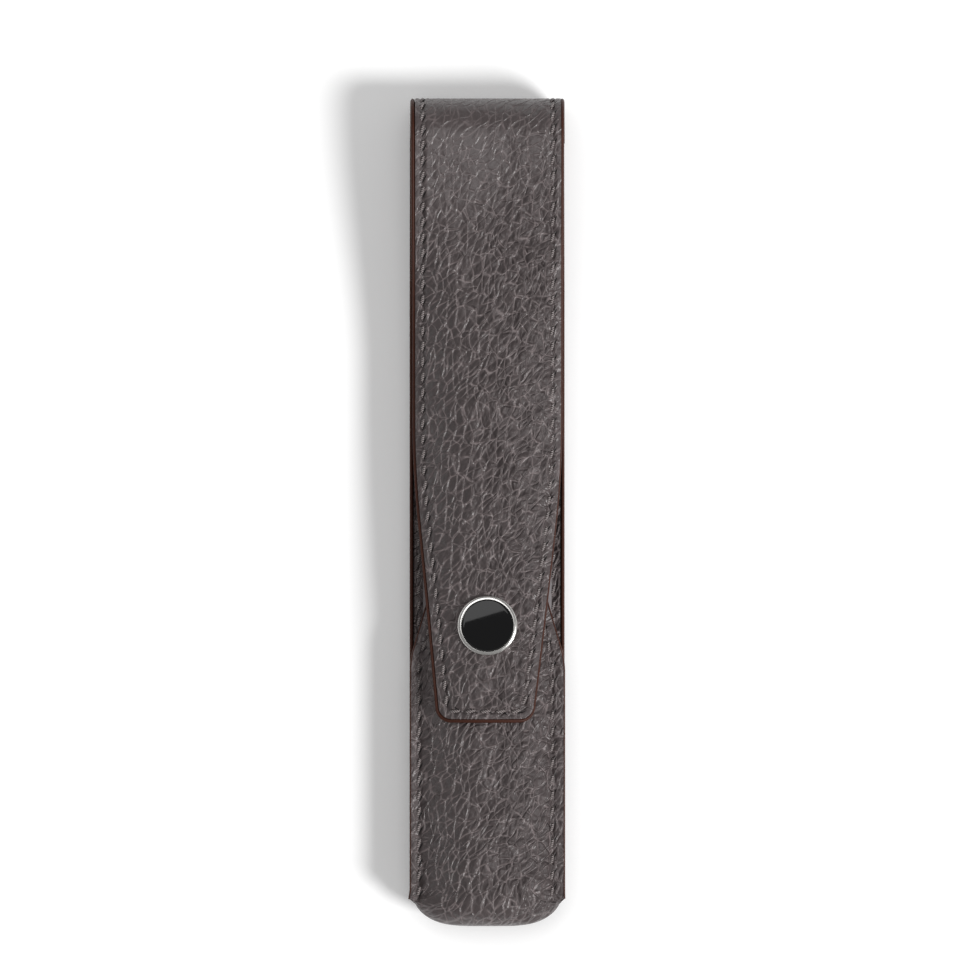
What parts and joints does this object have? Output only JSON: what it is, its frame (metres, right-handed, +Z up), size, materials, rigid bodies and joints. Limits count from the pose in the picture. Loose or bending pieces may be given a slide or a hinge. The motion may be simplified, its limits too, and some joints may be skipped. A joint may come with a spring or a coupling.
{
  "type": "single pen sleeve",
  "caption": "Slim grain leather sleeve for one pen, with a crowned pocket, rounded nose, painted stitched edges and a long tapered flap that folds over and closes on magnets by a round emblem.",
  "frame": {"origin": "on the surface that the sleeve lies on, under the middle of its length and width", "axes": "+X across the sleeve, +Y along it from the nose to the fold, +Z up from the back to the flap"},
  "size_m": [0.0306, 0.1652, 0.0168],
  "materials": {
    "grain_leather": "grey pebble grain with brown painted edges",
    "smooth_lining": "smooth matt lining",
    "board": "plain",
    "magnet": "nickel plated",
    "polished_steel": "polished",
    "black_gloss": "polished",
    "thread": "waxed thread"
  },
  "bodies": {
    "sleeve": {"outer_wrap": "grain_leather", "pocket_panel": "grain_leather", "back_lining": "smooth_lining", "front_lining": "smooth_lining", "back_board": "board", "keeper_magnet": "magnet", "left_seam_thread": "thread", "right_seam_thread": "thread", "tongue_thread": "thread", "fold_leather": "grain_leather", "fold_lining": "smooth_lining", "fold_thread": "thread"},
    "flap": {"flap_leather": "grain_leather", "flap_lining": "smooth_lining", "flap_magnet": "magnet", "emblem_bezel": "polished_steel", "emblem_inlay": "black_gloss", "emblem_washer": "polished_steel", "flap_thread": "thread"}
  },
  "joints": [
    {"name": "flap_fold", "type": "hinge", "parent": "sleeve", "child": "flap", "pos_m": [0, 0.08173, 0.008], "axis": [-1, 0, 0], "range_deg": [0, 175], "deforming": ["fold_leather", "fold_lining", "fold_thread"]}
  ]
}
